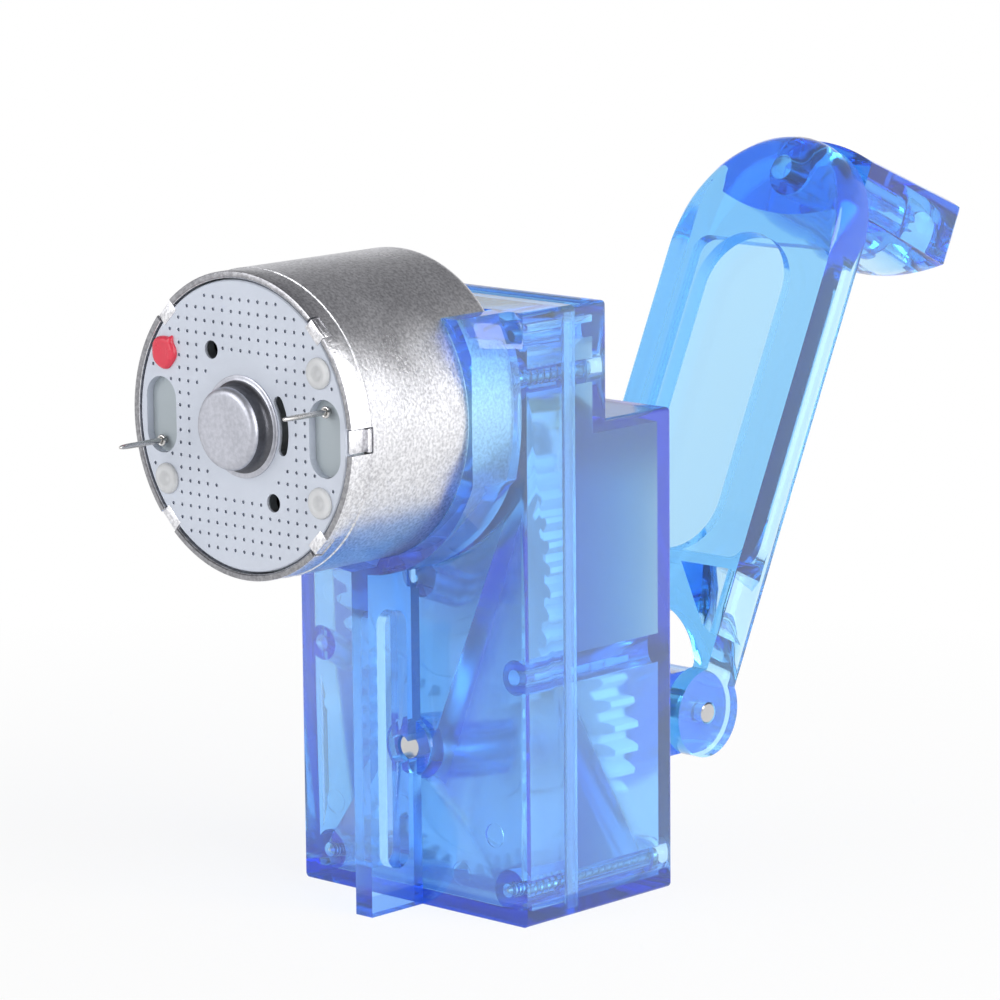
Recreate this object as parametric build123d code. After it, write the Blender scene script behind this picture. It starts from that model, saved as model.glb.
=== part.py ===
from build123d import *
import math
import os

os.makedirs("parts", exist_ok=True)

# Hand crank generator: a two-shell gearbox with a round motor on its front and a folding crank behind.
# Millimetres. X across the front plate, Y from the motor (-) to the crank (+), Z up.
# The front plate's outer face is at Y = 0, the base at Z = 0, the centre line at X = 0.

# gearbox
case_half = 16.5
wall = 1.5
seam_y = 7.9
case_top = 65.2
case_back = 12.9
block_top = 52.6
block_back = 23.1
edge_round = 0.5
lip_thick = 0.7
lip_long = 1.2
lip_gap = 0.05

# shaft axes and gears
axis_a = 17.2
centre_distance = 18.8
axis_b = axis_a + centre_distance
axis_m = axis_b + centre_distance
tooth_module = 0.8
wheel_teeth = 34
pinion_teeth = 13
pressure_angle = 20.0
wheel_addendum = 0.85
pinion_addendum = 1.0
dedendum = 1.25
tooth_backlash = 0.12
hub_radius = 4.2

# layers along Y, each wheel with the pinion it turns
crank_gear_y = (15.7, 19.3)
first_wheel_y = (12.1, 14.7)
second_wheel_y = (8.5, 11.1)
third_wheel_y = (5.0, 7.4)
motor_pinion_y = (4.2, 8.2)
layer_gap = 0.1

# fits
run_gap = 0.05
fixed_gap = 0.01
cup_gap = 0.05

# shafts
crank_shaft_r = 1.5
middle_axle_r = 1.0
motor_shaft_r = 1.0
hinge_pin_r = 1.2

# motor
can_r = 16.0
can_wall = 0.8
can_front = -24.5
can_rear = -0.1
can_corner = 1.5
magnet_thick = 3.6
magnet_front = -18.5
magnet_rear = -2.5
air_gap = 0.49
core_r = can_r - can_wall - fixed_gap - magnet_thick - air_gap
core_rim = 1.6
core_hub_r = 3.2
core_front = -16.6
core_rear = -4.6
pole_half = 1.6
coil_half = 4.5
coil_over = 1.7
commutator_front = -21.6
commutator_r = 2.8
brush_gap = 0.3
brush_long = 2.2
spacer_r = 1.9
bush_gap = 0.3
end_bush_reach = 0.6
shaft_bush_front = -2.3
motor_screw_x = 8.0
motor_screw_r = 1.2
band_width = 2.8
plate_front = -24.3
plate_back = -23.4
holder_back = -21.9
boss_r = 4.3
boss_front = -27.3
rear_boss_r = 4.0
rear_boss_end = 1.3
stake_x = can_r - 4.8
stake_places = [(stake_x, 6.6), (stake_x, -6.6), (-stake_x, -6.6), (-stake_x, 6.6)]
slot_x = can_r - 4.1
hole_places = [(-4.3, 7.5), (4.4, -7.4)]
pin_places = [(-can_r + 3.7, -2.8), (can_r - 4.2, 2.7)]
pin_r = 0.3
pin_front = -30.0
pin_tip = 0.12
pin_free = 5.0
pin_collar_r = 0.55
motor_shaft_front = -26.2

# motor cup and foot fin on the front shell
cup_bore = can_r + cup_gap
cup_wall = 1.75
cup_r = cup_bore + cup_wall
cup_front = -7.7
fin_half = 1.2
eject_places = [(-12.3, 32.4), (-12.5, 20.1), (-12.5, 9.0), (-1.4, 10.3), (10.9, 9.1), (6.2, 4.2)]
eject_r = 1.3

# screws and pegs
low_screw = (13.2, 3.5)
high_screw = (13.2, case_top - 7.3)
screw_r = 0.85
pilot_r = 0.75
screw_clear_r = 1.0
screw_head_r = 1.65
screw_boss_r = 2.2
screw_tip = 0.9
head_pocket = 2.3
peg_place = (13.9, 26.6)
peg_boss_r = 1.9
peg_r = 0.8
top_peg_place = (13.6, case_top - 3.0)
top_peg_boss_r = 1.6
top_peg_r = 0.55

# crank
hinge_y = 34.7
hinge_drop = 0.7
hinge_z = axis_a - hinge_drop
lean = 25.5
arm_half = 11.6
arm_front = -2.3
arm_back = 3.1
arm_tip = 67.2
nose_drop = 3.8
nose_depth = 4.4
arch_r = 10.4
pocket_low = 17.0
pocket_high = arm_tip - 12.8
pocket_half = 6.35
pocket_deep = 2.0
tray_low = 17.6
tray_high = arm_tip - 13.1
tray_deep = 1.5
tray_edge = 1.7
ear_r = 4.95
hub_disc_r = 10.0
hub_half = 9.2
ear_gap = 0.3
ear_inner = hub_half + ear_gap
hub_front = 24.5
hub_disc_back = 31.6
shaft_end = 30.5
shaft_flat = 1.1
knuckle_r = 4.6
knob_place = arm_tip - 4.6
knob_near = 3.4
knob_far = 19.9
post_r = 2.8
post_bore_r = 1.4
post_end = 17.3
barb_r = 3.3
knob_shoulder = 15.1
knob_cavity_r = 4.2
knob_near_size = (9.0, 3.0, 1.9)
knob_wide_size = (10.1, 3.5, 2.2)
knob_far_size = (9.8, 3.2, 2.1)


def rod(radius, y0, y1, x=0.0, z=0.0):
    """A cylinder along Y."""
    place = Plane(origin=(x, y0, z), x_dir=(1, 0, 0), z_dir=(0, 1, 0))
    return Solid.make_cylinder(radius, y1 - y0, place)


def block(x0, x1, y0, y1, z0, z1):
    return Pos((x0 + x1) / 2, (y0 + y1) / 2, (z0 + z1) / 2) * Box(x1 - x0, y1 - y0, z1 - z0)


def plate(points, y0, y1):
    """A prism along Y from a closed outline of (x, z) points."""
    wire = Wire.make_polygon([(x, y0, z) for x, z in points], close=True)
    return Solid.extrude(Face(wire), Vector(0, y1 - y0, 0))


def slot_plate(x, z, width, height, y0, y1):
    """A prism along Y with full-round ends, tall in Z."""
    r = width / 2
    straight = height / 2 - r
    body = block(x - r, x + r, y0, y1, z - straight, z + straight)
    return body + rod(r, y0, y1, x, z - straight) + rod(r, y0, y1, x, z + straight)


def flat_rod(radius, flat, y0, y1, x=0.0, z=0.0):
    """A cylinder along Y with one flat on its +Z side."""
    top = block(x - radius, x + radius, y0 - 1, y1 + 1, z + flat, z + radius + 1)
    return rod(radius, y0, y1, x, z) - top


def involute(angle):
    return math.tan(angle) - angle


def gear_outline(teeth, addendum, z_centre, tooth_up=True):
    """Spur gear outline with one tooth pointing up, or down."""
    pitch_r = tooth_module * teeth / 2
    base_r = pitch_r * math.cos(math.radians(pressure_angle))
    tip_r = pitch_r + addendum * tooth_module
    root_r = pitch_r - dedendum * tooth_module
    half_pitch = math.pi / (2 * teeth) - tooth_backlash / (2 * pitch_r)
    start = 0.0 if tooth_up else math.pi
    radii = [root_r, max(base_r, root_r + 0.1), (base_r + tip_r) / 2, tip_r]
    points = []
    for i in range(teeth):
        middle = start + 2 * math.pi * i / teeth
        flank = []
        for r in radii:
            cosine = min(1.0, base_r / max(r, base_r))
            half = half_pitch + involute(math.radians(pressure_angle)) - involute(math.acos(cosine))
            flank.append((r, half))
        for r, half in flank:
            points.append((r * math.sin(middle - half), z_centre + r * math.cos(middle - half)))
        for r, half in reversed(flank):
            points.append((r * math.sin(middle + half), z_centre + r * math.cos(middle + half)))
    return points


def wheel(z_centre, y_range, tooth_up=True):
    """A 34-tooth wheel with a thinner web between rim and hub."""
    y0, y1 = y_range
    body = plate(gear_outline(wheel_teeth, wheel_addendum, z_centre, tooth_up), y0, y1)
    groove = rod(11.4, y0 - 1, y0 + 0.6, 0, z_centre) - rod(hub_radius + 1.8, y0 - 2, y0 + 2, 0, z_centre)
    return body - groove


def pinion(z_centre, y_range, tooth_up=True):
    y0, y1 = y_range
    return plate(gear_outline(pinion_teeth, pinion_addendum, z_centre, tooth_up), y0, y1)


def both_sides(place):
    x, z = place
    return [(-x, z), (x, z)]


# the gearbox

def outer_block(x, y0, y1, z1):
    return block(-x, x, y0, y1, 0, z1)


def front_shell():
    body = outer_block(case_half, 0, seam_y, case_top)
    corners = body.edges().filter_by(Axis.Y)
    body = fillet(corners, edge_round)
    body -= block(-case_half + wall, case_half - wall, wall, seam_y + 1, wall, case_top - wall)
    # rebate for the cover's lip
    grow = lip_thick + lip_gap
    body -= block(-case_half + wall - grow, case_half - wall + grow, seam_y - lip_long - lip_gap,
                  seam_y + 1, wall - grow, case_top - wall + grow)
    # cup round the motor, cut flush with the sides and the top
    cup = rod(cup_r, cup_front, 0.5, 0, axis_m)
    cup = cup & block(-case_half, case_half, cup_front, 0.5, 0, case_top)
    body += cup
    body -= rod(cup_bore, cup_front - 1, 0, 0, axis_m)
    # foot fin with its window
    fin = block(-fin_half, fin_half, cup_front, 0.5, 0, axis_m - cup_bore - 0.6)
    middle = -3.6
    low, high, half = 4.6, 32.6, 1.6
    window = block(-3, 3, middle - half, middle + half, low + half, high - half)
    for z in (low + half, high - half):
        place = Plane(origin=(-3, middle, z), x_dir=(0, 1, 0), z_dir=(1, 0, 0))
        window += Solid.make_cylinder(half, 6, place)
    body += fin - window
    # bearing bosses
    body += rod(3.2, -0.7, second_wheel_y[0] - 0.2 - layer_gap, 0, axis_a)
    body += rod(2.4, wall - 0.5, third_wheel_y[0] - 0.2 - layer_gap, 0, axis_b)
    body += rod(1.9, -0.5, 0.5, 0, axis_b)
    # screw bosses and peg sockets
    bosses = [(low_screw, screw_boss_r), (high_screw, screw_boss_r), (peg_place, peg_boss_r)]
    bosses.append((top_peg_place, top_peg_boss_r))
    inside = block(-case_half + 0.4, case_half - 0.4, wall - 0.5, seam_y, 0.4, case_top - 0.4)
    keep = block(-case_half + wall, case_half - wall, wall - 0.5, seam_y, wall, case_top - wall)
    for place, radius in bosses:
        for x, z in both_sides(place):
            body += rod(radius, wall - 0.5, seam_y, x, z) & (inside if radius > 2 else keep)
    # the rebate again, cut through the bosses that meet the wall
    ring = block(-case_half + wall - grow, case_half - wall + grow, seam_y - lip_long - lip_gap,
                 seam_y + 1, wall - grow, case_top - wall + grow)
    ring -= block(-case_half + wall, case_half - wall, 0, seam_y + 2, wall, case_top - wall)
    body -= ring
    # bores
    body -= rod(crank_shaft_r + run_gap, -2, 10, 0, axis_a)
    body -= rod(middle_axle_r + fixed_gap, -0.2, 10, 0, axis_b)
    body -= rod(rear_boss_r + 0.15, -1, wall + 1, 0, axis_m)
    for x in (-motor_screw_x, motor_screw_x):
        body -= rod(motor_screw_r + 0.3, -1, wall + 1, x, axis_m)
    for x, z in eject_places:
        body -= rod(eject_r, wall - 0.12, wall + 0.2, x, z)
    for place in (low_screw, high_screw):
        for x, z in both_sides(place):
            body -= rod(pilot_r, screw_tip, seam_y + 1, x, z)
    for x, z in both_sides(peg_place):
        body -= rod(peg_r + run_gap, 1.2, seam_y + 1, x, z)
    for x, z in both_sides(top_peg_place):
        body -= rod(top_peg_r + run_gap, 1.2, seam_y + 1, x, z)
    return body


def rear_cover():
    tall = outer_block(case_half, seam_y, case_back, case_top)
    deep = outer_block(case_half, seam_y, block_back, block_top)
    tall = fillet(tall.edges().filter_by(Axis.Y), edge_round)
    tall = fillet(tall.faces().sort_by(Axis.Y)[-1].edges(), edge_round)
    deep = fillet(deep.edges().filter_by(Axis.Y), edge_round)
    deep = fillet(deep.faces().sort_by(Axis.Y)[-1].edges(), edge_round)
    body = tall + deep
    inner = case_half - wall
    body -= block(-inner, inner, seam_y - 1, case_back - wall, wall, case_top - wall)
    body -= block(-inner, inner, seam_y - 1, block_back - wall, wall, block_top - wall)
    # lip that enters the front shell
    lip = block(-inner - lip_thick, inner + lip_thick, seam_y - lip_long, seam_y + 0.5,
                wall - lip_thick, case_top - wall + lip_thick)
    lip -= block(-inner, inner, 0, seam_y + 2, wall, case_top - wall)
    body += lip
    # bearing bosses
    body += rod(3.6, crank_gear_y[1] + 0.3 + layer_gap, block_back - 0.5, 0, axis_a)
    body += rod(3.6, block_back - 0.5, block_back + 0.7, 0, axis_a)
    body += rod(2.6, crank_gear_y[1] + 0.2 + layer_gap, block_back - 0.5, 0, axis_b)
    # screw tubes and peg tubes, from the rear wall to the seam
    inside = block(-case_half + 0.4, case_half - 0.4, seam_y, block_back - 0.4, 0.4, case_top - 0.4)
    keep = block(-inner, inner, seam_y, block_back, wall, case_top - wall)
    tubes = [(low_screw, screw_boss_r, block_back), (high_screw, screw_boss_r, case_back)]
    tubes += [(peg_place, peg_boss_r, block_back), (top_peg_place, top_peg_boss_r, case_back)]
    for place, radius, back in tubes:
        for x, z in both_sides(place):
            body += rod(radius, seam_y, back - 0.5, x, z) & (inside if radius > 2 else keep)
    for x, z in both_sides(peg_place):
        body += rod(peg_r, seam_y - 5.4, seam_y + 1, x, z)
    for x, z in both_sides(top_peg_place):
        body += rod(top_peg_r, seam_y - 5.4, seam_y + 1, x, z)
    # bores and counterbores
    body -= rod(crank_shaft_r + run_gap, 10, block_back + 2, 0, axis_a)
    body -= rod(middle_axle_r + fixed_gap, 10, block_back - 0.9, 0, axis_b)
    for place, back in ((low_screw, block_back), (high_screw, case_back)):
        for x, z in both_sides(place):
            body -= rod(screw_clear_r, seam_y - 1, back + 1, x, z)
            body -= rod(screw_head_r + 0.2, back - head_pocket, back + 1, x, z)
    return body


def case_screw(x, z, back):
    """Pan head self-tapping screw, driven from behind, with a cross recess."""
    seat = back - head_pocket
    body = rod(screw_r, screw_tip + 0.9, seat, x, z)
    tip = Solid.make_cone(0.15, screw_r, 0.9, Plane(origin=(x, screw_tip, z), z_dir=(0, 1, 0)))
    head = rod(screw_head_r, seat, seat + 1.2, x, z)
    head = fillet(head.edges().sort_by(Axis.Y)[-1], 0.5)
    cross = block(x - 0.9, x + 0.9, seat + 0.6, seat + 2, z - 0.2, z + 0.2)
    cross += block(x - 0.2, x + 0.2, seat + 0.6, seat + 2, z - 0.9, z + 0.9)
    return body + tip + head - cross


def case_screws_long():
    return [case_screw(x, z, block_back) for x, z in both_sides(low_screw)]


def case_screws_short():
    return [case_screw(x, z, case_back) for x, z in both_sides(high_screw)]


def middle_axle():
    return rod(middle_axle_r, -0.1, block_back - 1.0, 0, axis_b)


# gears

def crank_gear():
    y0, y1 = crank_gear_y
    body = wheel(axis_a, crank_gear_y)
    body += rod(hub_radius, y0 - 0.2, y1 + 0.3, 0, axis_a)
    bore = flat_rod(crank_shaft_r + fixed_gap, shaft_flat + fixed_gap, y0 - 1, y1 + 1, 0, axis_a)
    return body - bore


def step_gear(z_centre, wheel_y, pinion_end, wheel_up, pinion_up, bore_r):
    """Wheel and pinion moulded in one, free on its axle."""
    y0, y1 = wheel_y
    body = wheel(z_centre, wheel_y, wheel_up)
    body += pinion(z_centre, (y1 - 0.1, pinion_end), pinion_up)
    body += rod(hub_radius, y0 - 0.2, pinion_end + 0.1, 0, z_centre)
    return body - rod(bore_r + run_gap, y0 - 1, pinion_end + 1, 0, z_centre)


def step_gear_1():
    return step_gear(axis_b, first_wheel_y, crank_gear_y[1], True, True, middle_axle_r)


def step_gear_2():
    return step_gear(axis_a, second_wheel_y, first_wheel_y[1] + 0.4, True, False, crank_shaft_r)


def step_gear_3():
    return step_gear(axis_b, third_wheel_y, second_wheel_y[1] + 0.4, True, True, middle_axle_r)


def motor_pinion():
    y0, y1 = motor_pinion_y
    body = pinion(axis_m, motor_pinion_y)
    body += rod(3.2, y0 - 0.6, y1, 0, axis_m)
    return body - rod(motor_shaft_r + fixed_gap, y0 - 2, y1 + 1, 0, axis_m)


# motor

def motor_can():
    body = rod(can_r, can_front, can_rear, 0, axis_m)
    body = fillet(body.edges().sort_by(Axis.Y)[-1], can_corner)
    body -= rod(can_r - can_wall, can_front - 1, can_rear - can_wall, 0, axis_m)
    # turned band at the open end
    band = rod(can_r + 1, can_front - 1, can_front + band_width, 0, axis_m)
    band -= rod(can_r - 0.08, can_front - 2, can_front + band_width + 1, 0, axis_m)
    body -= band
    # crimp notches
    for angle, depth in ((0, 3.0), (45, 1.2), (-45, 1.2), (135, 1.2), (-135, 1.2)):
        cut = block(can_r - 0.5, can_r + 1, can_front - 1, can_front + depth, -1.35, 1.35)
        body -= Pos(0, 0, axis_m) * Rot(0, -angle, 0) * cut
    # boss round the rear bush
    body += rod(rear_boss_r, can_rear - 0.5, rear_boss_end, 0, axis_m)
    body -= rod(rear_boss_r - 0.7, can_rear - can_wall - 1, rear_boss_end - 0.6, 0, axis_m)
    body -= rod(motor_shaft_r + 0.4, -3, 3, 0, axis_m)
    for x in (-motor_screw_x, motor_screw_x):
        body -= rod(motor_screw_r, -3, 1, x, axis_m)
    return body


def motor_magnets():
    outer = can_r - can_wall - fixed_gap
    y0, y1 = magnet_front, magnet_rear
    ring = rod(outer, y0, y1, 0, axis_m) - rod(outer - magnet_thick, y0 - 1, y1 + 1, 0, axis_m)
    half = math.radians(65)
    reach = 30
    pieces = []
    for side in (-1, 1):
        wedge = [(0, axis_m), (side * reach * math.cos(half), axis_m + reach * math.sin(half))]
        wedge += [(side * reach, axis_m + 10), (side * reach, axis_m - 10)]
        wedge += [(side * reach * math.cos(half), axis_m - reach * math.sin(half))]
        pieces.append(ring & plate(wedge, y0 - 1, y1 + 1))
    return pieces


def small_openings(y0, y1):
    """Two round holes and the curved slot beside the boss, through the end plate and the holder."""
    ring = rod(6.35, y0, y1, 0, axis_m) - rod(5.5, y0 - 1, y1 + 1, 0, axis_m)
    wedge = [(0, axis_m), (12, axis_m + 7.2), (12, axis_m - 3.6)]
    tool = ring & plate(wedge, y0, y1)
    for x, z in hole_places:
        tool += rod(0.95, y0, y1, x, axis_m + z)
    return tool


def motor_end_plate():
    body = rod(can_r - can_wall - 0.02, plate_front, plate_back, 0, axis_m)
    boss = rod(boss_r, boss_front, plate_front + 0.1, 0, axis_m)
    boss = fillet(boss.edges().sort_by(Axis.Y)[0], 0.7)
    body += boss
    skirt = Plane(origin=(0, plate_front - 0.8, axis_m), z_dir=(0, 1, 0))
    body += Solid.make_cone(boss_r, boss_r + 0.9, 0.9, skirt)
    body -= rod(boss_r - 0.9, boss_front + 0.8, plate_back + 1, 0, axis_m)
    for x in (-slot_x, slot_x):
        body -= slot_plate(x, axis_m, 4.4, 8.0, plate_front - 1, plate_back + 1)
    body -= small_openings(plate_front - 1, plate_back + 1)
    for x, z in stake_places:
        body -= rod(1.2, plate_front - 1, plate_back + 1, x, axis_m + z)
    return body


def brush_holder():
    body = rod(can_r - can_wall - 0.02, plate_back, holder_back, 0, axis_m)
    body -= rod(boss_r - 0.9, plate_back - 1, holder_back + 1, 0, axis_m)
    body -= small_openings(plate_back - 1, holder_back + 1)
    for x, z in stake_places:
        body += rod(1.2 - fixed_gap, plate_front - 0.1, plate_back + 0.2, x, axis_m + z)
        head = rod(1.6, plate_front - 0.5, plate_front, x, axis_m + z)
        body += fillet(head.edges().sort_by(Axis.Y)[0], 0.3)
    # two posts that carry the brush arms
    for x, z in pin_places:
        z += axis_m
        body += block(x - 1.4, x + 1.4, holder_back - 0.2, -19.2, z - 1.5, z + 1.5)
        body -= rod(pin_collar_r + fixed_gap, -25, -18, x, z)
    return body


def terminal_pins():
    """Tinned wires that stand out of the slots, each thickened where the holder grips it."""
    pieces = []
    collar_front = pin_front + pin_tip + pin_free
    for x, z in pin_places:
        body = rod(pin_r, pin_front, -19.4, x, axis_m + z)
        body = fillet(body.edges().sort_by(Axis.Y)[0], pin_tip)
        pieces.append(body + rod(pin_collar_r, collar_front, -19.4, x, axis_m + z))
    return pieces


def motor_brushes():
    """Carbon block on a leaf arm, one on each side of the commutator."""
    pieces = []
    y0 = commutator_front + 0.2
    near = commutator_r + brush_gap
    for x, z in pin_places:
        side = 1 if x > 0 else -1
        x0 = x - side * 1.4
        x1 = side * (near + brush_long - 0.1)
        leaf = plate([(x0, axis_m + z - 0.2), (x0, axis_m + z + 0.2), (x1, axis_m + 0.2), (x1, axis_m - 0.2)],
                     y0, y0 + 2.0)
        left, right = sorted((side * near, side * (near + brush_long)))
        carbon = block(left, right, y0, y0 + 2.4, axis_m - 1.3, axis_m + 1.3)
        pieces.append(carbon + leaf)
    return pieces


def end_bush():
    """Plain bearing in the end plate's boss."""
    body = rod(boss_r - 0.9 - fixed_gap, boss_front + 0.8, plate_back + end_bush_reach, 0, axis_m)
    return body - rod(motor_shaft_r + run_gap, boss_front, -20, 0, axis_m)


def shaft_bush():
    """Plain bearing in the can's closed end."""
    body = rod(rear_boss_r - 0.7 - fixed_gap, shaft_bush_front, rear_boss_end - 0.6, 0, axis_m)
    return body - rod(motor_shaft_r + run_gap, -4, 4, 0, axis_m)


def motor_screws():
    pieces = []
    for x in (-motor_screw_x, motor_screw_x):
        body = rod(motor_screw_r - fixed_gap, -1.6, wall, x, axis_m)
        head = rod(2.2, wall, wall + 1.4, x, axis_m)
        head = fillet(head.edges().sort_by(Axis.Y)[-1], 0.5)
        cross = block(x - 1.2, x + 1.2, wall + 0.7, wall + 2, axis_m - 0.25, axis_m + 0.25)
        cross += block(x - 0.25, x + 0.25, wall + 0.7, wall + 2, axis_m - 1.2, axis_m + 1.2)
        pieces.append(body + head - cross)
    return pieces


def motor_shaft():
    return rod(motor_shaft_r, motor_shaft_front, motor_pinion_y[1] + 0.3, 0, axis_m)


def armature_core():
    """Three-pole stack of laminations."""
    y0, y1 = core_front, core_rear
    body = rod(core_hub_r, y0, y1, 0, axis_m)
    rim = rod(core_r, y0, y1, 0, axis_m) - rod(core_r - core_rim, y0 - 1, y1 + 1, 0, axis_m)
    half = math.radians(50)
    for i in range(3):
        turn = Pos(0, 0, axis_m) * Rot(0, 120 * i, 0) * Pos(0, 0, -axis_m)
        wedge = [(0, axis_m), (30 * math.sin(half), axis_m + 30 * math.cos(half))]
        wedge += [(-30 * math.sin(half), axis_m + 30 * math.cos(half))]
        body += turn * (rim & plate(wedge, y0 - 1, y1 + 1))
        body += turn * block(-pole_half, pole_half, y0, y1, axis_m, axis_m + core_r - 0.9)
    return body - rod(motor_shaft_r + fixed_gap, y0 - 1, y1 + 1, 0, axis_m)


def armature_windings():
    """One coil round each pole."""
    inner = core_hub_r + 0.4
    outer = core_r - core_rim - 1.4
    pieces = []
    for i in range(3):
        turn = Pos(0, 0, axis_m) * Rot(0, 120 * i, 0)
        coil = block(-coil_half, coil_half, core_front - coil_over, core_rear + coil_over, inner, outer)
        coil = fillet(coil.edges().filter_by(Axis.Z), 1.6)
        coil -= block(-pole_half, pole_half, core_front, core_rear, inner - 1, outer + 1)
        pieces.append(turn * coil)
    return pieces


def commutator():
    body = rod(commutator_r, commutator_front, core_front, 0, axis_m)
    y0, y1 = commutator_front - 0.4, core_front - 1.4
    for i in range(3):
        slot = block(-0.15, 0.15, y0, y1, commutator_r - 0.6, commutator_r + 0.6)
        body -= Pos(0, 0, axis_m) * Rot(0, 60 + 120 * i, 0) * slot
    return body - rod(motor_shaft_r + fixed_gap, commutator_front - 1, core_front + 1, 0, axis_m)


def rotor_spacers():
    """Washers that keep the armature off its bearings."""
    pieces = []
    front = plate_back + end_bush_reach + bush_gap
    rear = shaft_bush_front - bush_gap
    for y0, y1 in ((front, commutator_front), (core_rear, rear)):
        bore = rod(motor_shaft_r + fixed_gap, y0 - 1, y1 + 1, 0, axis_m)
        pieces.append(rod(spacer_r, y0, y1, 0, axis_m) - bore)
    return pieces


# crank

def crank_shaft():
    """Steel shaft through the gearbox, flatted where the gear and the hub grip it."""
    body = rod(crank_shaft_r, -0.5, shaft_end, 0, axis_a)
    body = chamfer(body.edges().sort_by(Axis.Y)[0], 0.2)
    for y0, y1 in ((crank_gear_y[0] - 0.2, crank_gear_y[1] + 0.3), (hub_front, shaft_end + 0.5)):
        body -= block(-2, 2, y0, y1, axis_a + shaft_flat, axis_a + 3)
    return body


def thrust_washer():
    body = rod(3.4, hub_front - 0.4, hub_front, 0, axis_a)
    return body - rod(crank_shaft_r + fixed_gap, 20, 30, 0, axis_a)


def crank_hub():
    """Round hub on the shaft, with the knuckle that carries the hinge pin."""
    disc = rod(hub_disc_r, hub_front, hub_disc_back, 0, axis_a)
    disc = fillet(disc.edges().filter_by(GeomType.CIRCLE), 0.5)
    body = disc & block(-hub_half, hub_half, 20, 40, 0, 40)
    body += block(-hub_half, hub_half, hub_disc_back - 2, hinge_y, hinge_z - knuckle_r, hinge_z + knuckle_r)
    body += cross_cylinder(knuckle_r, -hub_half, hub_half, hinge_y, hinge_z)
    body -= cross_cylinder(hinge_pin_r + run_gap, -20, 20, hinge_y, hinge_z)
    bore_r = crank_shaft_r + fixed_gap
    bore = flat_rod(bore_r, shaft_flat + fixed_gap, hub_front - 1, shaft_end + 0.1, 0, axis_a)
    return body - bore


def on_arm(shape):
    """Arm pieces are drawn standing at the origin: X across, Y through the arm, Z along it."""
    return Pos(0, hinge_y, hinge_z) * Rot(-lean, 0, 0) * shape


def cross_cylinder(radius, x0, x1, y=0.0, z=0.0):
    place = Plane(origin=(x0, y, z), x_dir=(0, 1, 0), z_dir=(1, 0, 0))
    return Solid.make_cylinder(radius, x1 - x0, place)


def tip_section(y, drop):
    """Full-round end of the arm at depth y, drawn down by drop."""
    low = arm_tip - arm_half - nose_drop - 1
    middle = arm_tip - arm_half - drop
    left = Line((-arm_half, y, low), (-arm_half, y, middle))
    end = ThreePointArc((-arm_half, y, middle), (0, y, middle + arm_half), (arm_half, y, middle))
    right = Line((arm_half, y, middle), (arm_half, y, low))
    base = Line((arm_half, y, low), (-arm_half, y, low))
    return Wire([left.edge(), end.edge(), right.edge(), base.edge()])


def crank_arm():
    body = block(-arm_half, arm_half, arm_front, arm_back, 0, arm_tip - arm_half - nose_drop)
    # the tip, whose front edge is rounded back
    steps = 5
    sections = []
    for i in range(steps + 1):
        turn = math.radians(90 * i / steps)
        depth = arm_front + nose_depth * (1 - math.cos(turn))
        sections.append(tip_section(depth, nose_drop * (1 - math.sin(turn))))
    body += Solid.make_loft(sections, True)
    body += Solid.extrude(Face(sections[-1]), Vector(0, arm_back - arm_front - nose_depth, 0))
    # round ears on the hinge pin, and the arch between them that clears the hub
    for side in (-1, 1):
        x0, x1 = sorted((side * ear_inner, side * arm_half))
        body += cross_cylinder(ear_r, x0, x1)
    arch = rod(arch_r, -10, 10, 0, hinge_drop) & block(-ear_inner, ear_inner, -10, 10, -20, 20)
    body -= arch
    # long pocket with round ends in the front
    middle = (pocket_low + pocket_high) / 2
    tall = pocket_high - pocket_low
    body -= slot_plate(0, middle, 2 * pocket_half, tall, arm_front - 1, arm_front + pocket_deep)
    # tray in the back
    inner = arm_half - tray_edge
    tray = block(-inner, inner, arm_back - tray_deep, arm_back + 1, tray_low, tray_high)
    body -= fillet(tray.edges().filter_by(Axis.Y), 2.0)
    # two three-cornered recesses between the arch and the side walls
    for side in (-1, 1):
        corners = [(side * 3.0, 16.0), (side * inner, 16.0), (side * inner, 8.6), (side * 8.4, 9.5)]
        body -= plate(corners, -1.1, arm_back + 1)
    # hollow split post that the knob snaps on
    body += rod(post_r, arm_back - 0.2, post_end, 0, knob_place)
    hook = Solid.make_cone(barb_r, post_r - 0.3, 1.6, Plane(origin=(0, post_end - 1.6, knob_place),
                                                           z_dir=(0, 1, 0)))
    body += hook
    body -= rod(post_bore_r, 0.3, post_end + 1, 0, knob_place)
    body -= block(-5, 5, 10.2, post_end + 1, knob_place - 0.6, knob_place + 0.6)
    body -= cross_cylinder(hinge_pin_r + fixed_gap, -20, 20)
    return on_arm(body)


def hinge_pin():
    body = cross_cylinder(hinge_pin_r, -arm_half, arm_half)
    return on_arm(chamfer(body.edges().filter_by(GeomType.CIRCLE), 0.2))


def knob_section(y, size):
    """Wide section with flat sides and a crowned top and bottom."""
    half_width, half_flat, crown = size
    z = knob_place
    top = ThreePointArc((-half_width, y, z + half_flat), (0, y, z + half_flat + crown),
                        (half_width, y, z + half_flat))
    right = Line((half_width, y, z + half_flat), (half_width, y, z - half_flat))
    bottom = ThreePointArc((half_width, y, z - half_flat), (0, y, z - half_flat - crown),
                           (-half_width, y, z - half_flat))
    left = Line((-half_width, y, z - half_flat), (-half_width, y, z + half_flat))
    return Face(Wire([top.edge(), right.edge(), bottom.edge(), left.edge()]))


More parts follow.
